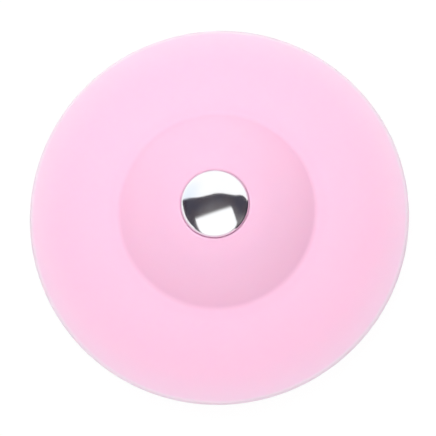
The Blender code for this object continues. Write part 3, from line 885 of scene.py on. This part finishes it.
def new_material(name, roughness, metallic=0.0):
    """An empty node material; returns it, its tree and its Principled shader."""
    made = bpy.data.materials.new(name)
    made.use_nodes = True
    shader = made.node_tree.nodes["Principled BSDF"]
    shader.inputs["Roughness"].default_value = roughness
    shader.inputs["Metallic"].default_value = metallic
    return made, made.node_tree, shader


def bump(tree, shader, height, distance, strength):
    """Raises the surface by a height from 0 to 1 times a distance."""
    made = node(tree, "ShaderNodeBump")
    made.inputs["Distance"].default_value = distance
    made.inputs["Strength"].default_value = strength
    tree.links.new(height, made.inputs["Height"])
    tree.links.new(made.outputs["Normal"], shader.inputs["Normal"])


def rubber_pink_with_painted_light(tree):
    """Pink with painted light and shade: painted light pales it towards the lip, as if lit through the
    thinning flange, and painted shade deepens it in the thick middle and over the collar.
    """
    radius = distance_from(tree, 0, 0)
    # Painted light: the pink pales outward from 40 mm, as if light shone through the thin flange.
    painted_light_from = 40.0 * MM
    painted_light_rate = 87.0  # to the metre, so it is 1 at the lip
    outward = maths(tree, "MULTIPLY_ADD", radius, painted_light_rate, -painted_light_rate * painted_light_from)
    outward = maths(tree, "MAXIMUM", outward, 0.0)
    painted_light_to_rim = maths(tree, "MULTIPLY", maths(tree, "POWER", outward, 2.0), 0.5)
    pink = blend_colours(tree, painted_light_to_rim, PINK, PINK_PAINTED_LIGHT_TO_LIP)
    # Painted shade: the pink is deeper in the thick middle and over the collar just outside the dome's
    # foot.
    hub = fade(tree, radius, 24.0 * MM, 15.0 * MM)
    inside_foot = fade(tree, radius, 30.5 * MM, 28.6 * MM)
    outside_wall = fade(tree, radius, 24.5 * MM, 26.5 * MM)
    over_collar = maths(tree, "MULTIPLY", maths(tree, "MULTIPLY", inside_foot, outside_wall), 0.35)
    thick = maths(tree, "MAXIMUM", hub, over_collar)
    pink = blend_colours(tree, thick, pink, PINK_PAINTED_SHADE)
    # Painted light: the outermost lip is paler.
    lip = maths(tree, "MULTIPLY", fade(tree, radius, 50.4 * MM, 51.3 * MM), 0.65)
    return blend_colours(tree, lip, pink, PINK_PAINTED_LIGHT_AT_LIP)


def pink_silicone(grain):
    """Soft pale pink with a matt skin, a little light inside it, and painted light that makes the thin lip
    paler.
    """
    made, tree, shader = new_material("pink_silicone_skin", 0.5)
    group = node(tree, "ShaderNodeGroup", node_tree=grain)
    mottle = maths(tree, "MULTIPLY", group.outputs["Mottle"], 0.06)
    pink = blend_colours(tree, mottle, rubber_pink_with_painted_light(tree), PINK_MOTTLE)
    specks = maths(tree, "MULTIPLY", group.outputs["Specks"], 0.03)
    pink = blend_colours(tree, specks, pink, PINK_SPECKS)
    tree.links.new(pink, shader.inputs["Base Color"])
    rough = maths(tree, "MULTIPLY_ADD", group.outputs["Mottle"], 0.08, 0.47)
    rough = maths(tree, "MULTIPLY_ADD", group.outputs["Height"], 0.06, rough)
    tree.links.new(rough, shader.inputs["Roughness"])
    soft_skin = {
        "Subsurface Weight": 0.15, "Subsurface Radius": (1.0, 0.4, 0.6), "Subsurface Scale": 1 * MM,
        "Sheen Weight": 0.06, "Sheen Roughness": 0.5, "IOR": 1.41,
    }
    for name, value in soft_skin.items():
        shader.inputs[name].default_value = value
    bump(tree, shader, group.outputs["Height"], 0.03 * MM, 0.6)
    return made


def polished_chrome(grain):
    """Bright chrome plate, nearly a mirror; its rolled edge carries a painted pink reflection of the rubber
    round it, and painted shade.
    """
    made, tree, shader = new_material("polished_chrome_plate", 0.08, 1.0)
    group = node(tree, "ShaderNodeGroup", node_tree=grain)
    group.inputs["Grain Scale"].default_value = 9000.0
    group.inputs["Mottle Scale"].default_value = 220.0
    tint = blend_colours(tree, group.outputs["Mottle"], CHROME, CHROME_MOTTLE)
    # Painted reflection and painted shade: the rolled edge is tinted pink and darker.
    painted_reflection_edge = fade(tree, distance_from(tree, 0, 0), 8.50 * MM, 8.92 * MM)
    tint = blend_colours(tree, painted_reflection_edge, tint, CHROME_PAINTED_PINK_REFLECTION)
    tree.links.new(tint, shader.inputs["Base Color"])
    haze = maths(tree, "MULTIPLY_ADD", group.outputs["Mottle"], 0.03, 0.07)
    tree.links.new(haze, shader.inputs["Roughness"])
    bump(tree, shader, group.outputs["Mottle"], 0.004 * MM, 0.5)
    return made


def white_plastic(grain):
    """Off-white moulded plastic, a little glossier than the silicone."""
    made, tree, shader = new_material("white_moulded_plastic", 0.38)
    group = node(tree, "ShaderNodeGroup", node_tree=grain)
    group.inputs["Grain Scale"].default_value = 5000.0
    group.inputs["Mottle Scale"].default_value = 160.0
    shade = blend_colours(tree, group.outputs["Mottle"], OFF_WHITE, OFF_WHITE_MOTTLE)
    tree.links.new(shade, shader.inputs["Base Color"])
    rough = maths(tree, "MULTIPLY_ADD", group.outputs["Mottle"], 0.10, 0.33)
    tree.links.new(rough, shader.inputs["Roughness"])
    bump(tree, shader, group.outputs["Height"], 0.02 * MM, 0.5)
    return made


def turned_steel(grain):
    """Stainless steel with the fine rings that a lathe or a press tool leaves."""
    made, tree, shader = new_material("turned_stainless_steel", 0.28, 1.0)
    group = node(tree, "ShaderNodeGroup", node_tree=grain)
    ring_rate = 60000.0  # radians to the metre, so a ring every 0.1 mm
    rings = maths(tree, "SINE", maths(tree, "MULTIPLY", distance_from(tree, 0, 0), ring_rate))
    shade = blend_colours(tree, group.outputs["Mottle"], STEEL, STEEL_MOTTLE)
    tree.links.new(shade, shader.inputs["Base Color"])
    rough = maths(tree, "MULTIPLY_ADD", rings, 0.05, 0.27)
    tree.links.new(rough, shader.inputs["Roughness"])
    bump(tree, shader, rings, 0.004 * MM, 0.5)
    return made


def finish_piece(piece, look, body=None):
    """Gives a piece its finish, and lets it ride on a body if one is named; otherwise it is not attached.
    """
    piece.data.materials.clear()
    piece.data.materials.append(look)
    if body:
        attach(piece, body)


def dress_frame_node(name, look):
    """A CAD node that stays gets the detailed finish in every slot."""
    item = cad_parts[name]
    for place in item.material_slots:
        place.material = look


# The set.

def flat_card(name, corners, height):
    """A flat card drawn corner by corner, high over the object."""
    line = [(x, y, height) for x, y in corners + corners[:1]]
    card = drawn(name, line, TOUCH)
    bpy.ops.mesh.edge_face_add()
    bpy.ops.object.mode_set(mode="OBJECT")
    card.visible_camera = False
    card.visible_diffuse = False
    card.visible_transmission = False
    card.visible_volume_scatter = False
    card.visible_shadow = False
    return card


def cleared_tree(owner):
    """Gives a material or a world an empty node tree."""
    owner.use_nodes = True
    owner.node_tree.nodes.clear()
    return owner.node_tree


def shine(tree, kind, colour, strength):
    """Adds a node that sends out light of one colour, and returns it."""
    made = node(tree, kind)
    feed(tree, made.inputs["Color"], colour)
    feed(tree, made.inputs["Strength"], strength)
    return made


def mix_shaders(tree, factor, first, second):
    """The first shader where the factor is 0, the second where it is 1."""
    made = node(tree, "ShaderNodeMixShader")
    for socket, output in zip(made.inputs, (factor, first, second)):
        tree.links.new(output, socket)
    return made.outputs[0]


def seen_or_mirrored(tree):
    """1 for what is seen, also in a mirror or through something clear, and 0 for what only lights."""
    path = node(tree, "ShaderNodeLightPath").outputs
    seen = maths(tree, "MAXIMUM", path["Is Camera Ray"], path["Is Glossy Ray"])
    return maths(tree, "MAXIMUM", seen, path["Is Transmission Ray"])


def glow(name, strength=1.0):
    """A material that shines by itself; returns it, its tree and the socket for its colour."""
    made = bpy.data.materials.new(name)
    tree = cleared_tree(made)
    emission = shine(tree, "ShaderNodeEmission", WHITE, strength)
    output = node(tree, "ShaderNodeOutputMaterial")
    tree.links.new(emission.outputs[0], output.inputs["Surface"])
    return made, tree, emission.inputs["Color"]


def pale_wall():
    """The wall that the upper half of the chromed cap mirrors, a little blue at its left."""
    wall = flat_card("pale_wall", [(-1.4, 0.10), (1.2, 0.10), (1.2, 1.6), (-1.4, 1.6)], 0.610)
    look, tree, colour = glow("pale_wall_light", 1.04)
    beyond_patch = fade(tree, distance_from(tree, -0.50, 0.33), 0.03, 0.36)
    tree.links.new(blend_colours(tree, beyond_patch, (0.85, 0.91, 0.985), WHITE), colour)
    wall.data.materials.append(look)


def ceiling_shade():
    """The dim ceiling's greys: a glare round the window, brown patches, dark ends and a pale far corner."""
    look, tree, colour = glow("ceiling_shade")
    place = place_of_point(tree)
    split = split_up(tree, place)
    glare = fade(tree, distance_from(tree, 0.02, -0.24), 0.46, 0.22)
    shade = blend_colours(tree, glare, (0.060, 0.056, 0.076), (0.165, 0.155, 0.165))
    far_glare = fade(tree, distance_from(tree, 0.46, -0.28), 0.30, 0.05)
    shade = blend_colours(tree, far_glare, shade, (0.25, 0.235, 0.24))
    patches = fade(tree, noise(tree, place, 5.0, detail=2.0), 0.4, 0.6)
    shade = blend_colours(tree, maths(tree, "MULTIPLY", patches, 0.30), shade, (0.10, 0.075, 0.075))
    left_end = fade(tree, split["X"], -0.46, -0.60)
    wall_foot = fade(tree, split["Z"], 0.5, 0.1)
    ends = maths(tree, "MAXIMUM", left_end, wall_foot)
    shade = blend_colours(tree, ends, shade, (0.030, 0.016, 0.028))
    corner = fade(tree, split["Y"], 0.196, 0.234)
    corner = maths(tree, "MULTIPLY", corner, fade(tree, split["X"], -0.15, -0.30))
    shade = blend_colours(tree, maths(tree, "MULTIPLY", corner, 0.8), shade, (0.55, 0.62, 0.70))
    tree.links.new(shade, colour)
    return look


def dim_ceiling():
    """The dim ceiling in front of the wall, whose right edge turns down into a side wall."""
    ceiling = flat_card("dim_ceiling", [
        (-0.680, 0.238), (-0.545, 0.230), (-0.438, 0.218), (-0.331, 0.202), (-0.244, 0.196),
        (-0.166, 0.203), (-0.108, 0.213), (-0.052, 0.228), (0.004, 0.238), (0.060, 0.240),
        (0.117, 0.237), (0.176, 0.232), (0.238, 0.228), (0.307, 0.236), (0.376, 0.256),
        (0.415, 0.253), (0.456, 0.239), (0.500, 0.224), (0.560, 0.210), (0.640, 0.185),
        (0.640, -0.360), (0.490, -0.520), (0.200, -0.520), (-0.300, -0.520), (-0.400, -0.430),
        (-0.387, -0.290), (-0.445, -0.232), (-0.500, -0.170), (-0.545, -0.095), (-0.572, -0.010),
        (-0.605, 0.070), (-0.650, 0.155),
    ], 0.600)
    edit_again(ceiling)
    pick(ceiling, lambda a, b: min(a.x, b.x) > 0.48 and max(a.y, b.y) < 0.2, "EDGE")
    extrude_up(-0.58)
    extrude_up(-0.015, (0.3, 0.3))
    bpy.ops.object.mode_set(mode="OBJECT")
    ceiling.data.materials.append(ceiling_shade())


def bright_window():
    """The bright window in the ceiling, whose far edge is soft."""
    window = flat_card("bright_window", [
        (-0.330, -0.096), (0.192, 0.071), (0.305, -0.180), (0.300, -0.375), (0.262, -0.520),
        (-0.255, -0.520), (-0.281, -0.315), (-0.312, -0.190),
    ], 0.595)
    look, tree, colour = glow("window_light", 1.06)
    split = split_up(tree, place_of_point(tree))
    edge_slope = 0.321
    across = maths(tree, "MULTIPLY_ADD", split["X"], -edge_slope, split["Y"])
    soft_edge = fade(tree, across, -0.050, 0.006)
    tree.links.new(blend_colours(tree, soft_edge, WHITE, (0.16, 0.15, 0.155)), colour)
    window.data.materials.append(look)


def floor_white():
    """Matt white that shines where it is seen, keeps a faint shadow, and is clear from below."""
    made = bpy.data.materials.new("floor_white")
    tree = cleared_tree(made)
    matt = node(tree, "ShaderNodeBsdfDiffuse")
    feed(tree, matt.inputs["Color"], (0.90, 0.90, 0.90))
    white = shine(tree, "ShaderNodeEmission", WHITE, 1.03)
    share = maths(tree, "MULTIPLY", seen_or_mirrored(tree), 0.93)
    above = mix_shaders(tree, share, matt.outputs[0], white.outputs[0])
    clear = node(tree, "ShaderNodeBsdfTransparent")
    below = node(tree, "ShaderNodeNewGeometry").outputs["Backfacing"]
    output = node(tree, "ShaderNodeOutputMaterial")
    tree.links.new(mix_shaders(tree, below, above, clear.outputs[0]), output.inputs["Surface"])
    return made


def white_floor():
    """A plain white floor just under the cup."""
    deselect_objects()
    bpy.ops.mesh.primitive_plane_add(size=4.0, location=(0, 0, -0.1 * MM))
    floor = bpy.context.object
    floor.name = "floor"
    floor.data.materials.append(floor_white())


def studio_world(fill, contrast):
    """White wherever it is seen or mirrored, and otherwise a soft fill light, weaker from the two sides."""
    world = bpy.data.worlds.new("studio_world")
    bpy.context.scene.world = world
    tree = cleared_tree(world)
    split = split_up(tree, place_of_point(tree, "Generated"))
    front_and_back = maths(tree, "MULTIPLY", split["Y"], split["Y"])
    sides = maths(tree, "MULTIPLY", split["X"], split["X"])
    lean = maths(tree, "SUBTRACT", front_and_back, sides)
    strength = maths(tree, "MULTIPLY_ADD", lean, contrast * fill, fill)
    soft = shine(tree, "ShaderNodeBackground", WHITE, strength)
    shown = shine(tree, "ShaderNodeBackground", WHITE, 1.0)
    mixed = mix_shaders(tree, seen_or_mirrored(tree), soft.outputs[0], shown.outputs[0])
    output = node(tree, "ShaderNodeOutputWorld")
    tree.links.new(mixed, output.inputs["Surface"])


def looking_at(position, target, up):
    """A matrix at a position whose -Z looks at a target, with an up direction in the picture."""
    back = (Vector(position) - Vector(target)).normalized()
    right = Vector(up).cross(back).normalized()
    above = back.cross(right)
    return Matrix.Translation(position) @ Matrix((right, above, back)).transposed().to_4x4()


def soft_lamp(name, position, size, power):
    """A square lamp that points at the object and isn't mirrored in the chrome."""
    data = bpy.data.lights.new(name, "AREA")
    data.shape = "SQUARE"
    data.size = size
    data.energy = power
    lamp = bpy.data.objects.new(name, data)
    lamp.matrix_world = looking_at(position, (0, 0, 15.0 * MM), (0, 1, 0))
    lamp.visible_glossy = False
    lamp.visible_camera = False
    bpy.context.scene.collection.objects.link(lamp)


def photo_camera():
    """A long lens almost straight above, tipped towards the front as in the photograph."""
    tilt = math.radians(10.62)
    side = math.radians(-71.73)
    distance = 0.700
    target = Vector((-0.163 * MM, -0.685 * MM, 10.65 * MM))
    back = Vector((math.sin(tilt) * math.cos(side), math.sin(tilt) * math.sin(side), math.cos(tilt)))
    data = bpy.data.cameras.new("camera")
    data.sensor_width = 36.0
    data.lens = 212.3
    camera = bpy.data.objects.new("camera", data)
    camera.matrix_world = looking_at(target + distance * back, target, (0, 1, 0))
    bpy.context.scene.collection.objects.link(camera)
    bpy.context.scene.camera = camera


# Making the object.
grain = moulded_grain_group()
silicone = pink_silicone(grain)
chrome = polished_chrome(grain)
plastic = white_plastic(grain)
steel = turned_steel(grain)

cover = silicone_cover()
finish_piece(cover, silicone)
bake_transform(cover)
finish_piece(hair_ridges(), silicone, "cover")
for ring in hair_teeth():
    finish_piece(ring, silicone, "cover")
finish_piece(pipe_seal(), silicone, "cover")
finish_piece(guide_plate(), plastic, "cover")
finish_piece(strainer_cup(), plastic, "cover")
finish_piece(chromed_cap(), chrome, "button")
finish_piece(hub_block(), silicone, "button")
finish_piece(plug_disc(), silicone, "button")
finish_piece(hub_washer(), plastic, "button")
finish_piece(plunger_stem(), plastic, "button")
finish_piece(plug_washer(), steel, "button")
finish_piece(stem_screw(), steel, "button")
dress_frame_node("button_core", plastic)

# The set, the light and the camera.
bpy.context.scene.view_settings.view_transform = "Standard"
white_floor()
pale_wall()
dim_ceiling()
bright_window()
studio_world(fill=0.565, contrast=0.65)
soft_lamp("overhead", position=(-0.02, 0.03, 0.95), size=0.6, power=2.94)
soft_lamp("key", position=(-0.10, 0.28, 0.62), size=0.4, power=1.38)
photo_camera()
